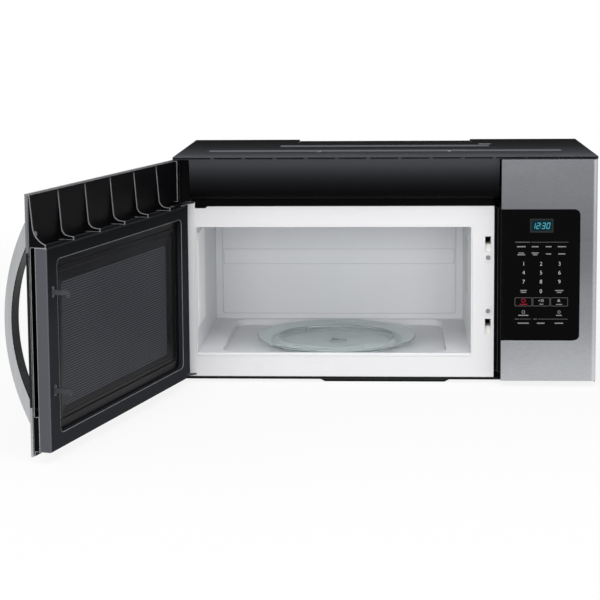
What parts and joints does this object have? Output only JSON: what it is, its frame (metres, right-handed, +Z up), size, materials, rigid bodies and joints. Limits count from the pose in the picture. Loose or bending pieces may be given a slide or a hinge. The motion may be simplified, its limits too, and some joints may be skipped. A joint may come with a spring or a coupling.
{
  "type": "over-the-range microwave oven",
  "caption": "Over-the-range microwave oven: stainless side-hinged door standing open on a white front frame, glass turntable, touch control panel and top exhaust.",
  "frame": {"origin": "on the wall face of the rear panel, on the centre line of the case, level with the bottom edge of the door and the control panel", "axes": "+X to the user's right, +Y into the wall, +Z up; the door stands open at 105.6 degrees"},
  "size_m": [0.9546, 0.9283, 0.4189],
  "materials": {
    "aluminium": "plain aluminium",
    "black_glass": "black printed glass",
    "black_plastic": "black moulded plastic",
    "black_steel": "black powder-coated steel sheet",
    "ceramic": "glazed ceramic",
    "charcoal": "charcoal granules in a frame",
    "circuit_green": "glass-fibre circuit board",
    "clear_glass": "clear tempered glass",
    "copper": "varnished copper wire",
    "dark_screen": "black painted perforated steel",
    "display_teal": "dark glass display",
    "film": "dark tinted film",
    "galvanised_steel": "zinc-coated steel sheet",
    "gloss_black_plastic": "glossy black moulded plastic",
    "grey_enamel": "light grey baked enamel",
    "grey_plastic": "grey moulded plastic",
    "laminated_iron": "varnished laminations",
    "mica": "mica sheet",
    "plated_steel": "plated steel",
    "smoked_glass": "dark tempered glass",
    "stainless": "brushed stainless steel",
    "white_enamel": "white painted steel",
    "white_plastic": "white moulded plastic"
  },
  "bodies": {
    "cabinet": {"outer_case": "black_steel", "rear_panel": "galvanised_steel", "base_plate": "black_steel", "grease_filter_left": "aluminium", "grease_filter_right": "aluminium", "lamp_cover": "black_plastic", "lamp_lens": "clear_glass", "lamp_sockets": "ceramic", "cooktop_lamps": "clear_glass", "front_shroud": "gloss_black_plastic", "front_frame": "white_enamel", "latch_screws": "plated_steel", "upper_hinge_bracket": "white_enamel", "lower_hinge_bracket": "white_enamel", "hinge_pins": "plated_steel", "oven_cavity": "grey_enamel", "waveguide_cover": "mica", "waveguide": "galvanised_steel", "magnetron": "plated_steel", "magnetron_fins": "aluminium", "transformer_core": "laminated_iron", "transformer_windings": "copper", "hv_capacitor": "aluminium", "hv_diode": "black_plastic", "fan_housing": "grey_plastic", "fan_motor": "laminated_iron", "blower_housing": "galvanised_steel", "blower_motor": "galvanised_steel", "charcoal_filter": "charcoal", "cord_gland": "black_plastic", "case_screws": "plated_steel", "turntable_motor": "galvanised_steel", "lamp_holder": "ceramic", "cavity_lamp": "clear_glass", "latch_board": "white_plastic", "interlock_switches": "black_plastic", "control_panel": "stainless", "key_glass": "black_glass", "panel_frame": "black_plastic", "display": "display_teal", "control_board": "circuit_green", "power_board": "circuit_green"},
    "door": {"door_skin": "stainless", "door_glass": "smoked_glass", "door_frame": "black_plastic", "choke_frame": "black_plastic", "door_screen": "dark_screen", "inner_film": "film", "handle": "stainless", "handle_screws": "plated_steel", "latch_spring": "plated_steel"},
    "latch": {"door_latch": "black_plastic"},
    "turntable": {"glass_tray": "clear_glass", "drive_coupler": "white_plastic"},
    "roller_ring": {"roller_ring": "grey_plastic"},
    "roller_one": {"roller_1": "grey_plastic"},
    "roller_two": {"roller_2": "grey_plastic"},
    "roller_three": {"roller_3": "grey_plastic"},
    "blower": {"blower_wheels": "grey_plastic"},
    "cooling_fan": {"fan_blades": "grey_plastic"}
  },
  "joints": [
    {"name": "door_hinge", "type": "hinge", "parent": "cabinet", "child": "door", "pos_m": [-0.3655, -0.374, 0.164], "axis": [0, 0, 1], "range_deg": [-4.4, 105.6]},
    {"name": "latch_slide", "type": "slide", "parent": "door", "child": "latch", "axis": [0, 0, 1], "range_m": [0, 0.0036], "stiffness_N_per_m": 400, "springref_m": -0.004, "deforming": ["latch_spring"]},
    {"name": "turntable_spin", "type": "hinge", "parent": "cabinet", "child": "turntable", "pos_m": [-0.0927, -0.196, 0.0433], "axis": [0, 0, 1], "continuous": true},
    {"name": "roller_ring_spin", "type": "hinge", "parent": "cabinet", "child": "roller_ring", "pos_m": [-0.0927, -0.196, 0.0381], "axis": [0, 0, 1], "continuous": true},
    {"name": "blower_spin", "type": "hinge", "parent": "cabinet", "child": "blower", "pos_m": [0, -0.059, 0.3497], "axis": [1, 0, 0], "continuous": true},
    {"name": "cooling_fan_spin", "type": "hinge", "parent": "cabinet", "child": "cooling_fan", "pos_m": [0.262, -0.03, 0.062], "axis": [0, 1, 0], "continuous": true},
    {"name": "roller_one_spin", "type": "hinge", "parent": "roller_ring", "child": "roller_one", "pos_m": [0.0243, -0.196, 0.0381], "axis": [1, 0, 0], "continuous": true},
    {"name": "roller_two_spin", "type": "hinge", "parent": "roller_ring", "child": "roller_two", "pos_m": [-0.1512, -0.09468, 0.0381], "axis": [-0.5, 0.866, 0], "continuous": true},
    {"name": "roller_three_spin", "type": "hinge", "parent": "roller_ring", "child": "roller_three", "pos_m": [-0.1512, -0.29732, 0.0381], "axis": [-0.5, -0.866, 0], "continuous": true}
  ],
  "couplings": [
    {"joint": "roller_ring_spin", "follows": "turntable_spin", "ratio": 0.5},
    {"joint": "roller_one_spin", "follows": "turntable_spin", "ratio": -10.636},
    {"joint": "roller_two_spin", "follows": "turntable_spin", "ratio": -10.636},
    {"joint": "roller_three_spin", "follows": "turntable_spin", "ratio": -10.636}
  ]
}
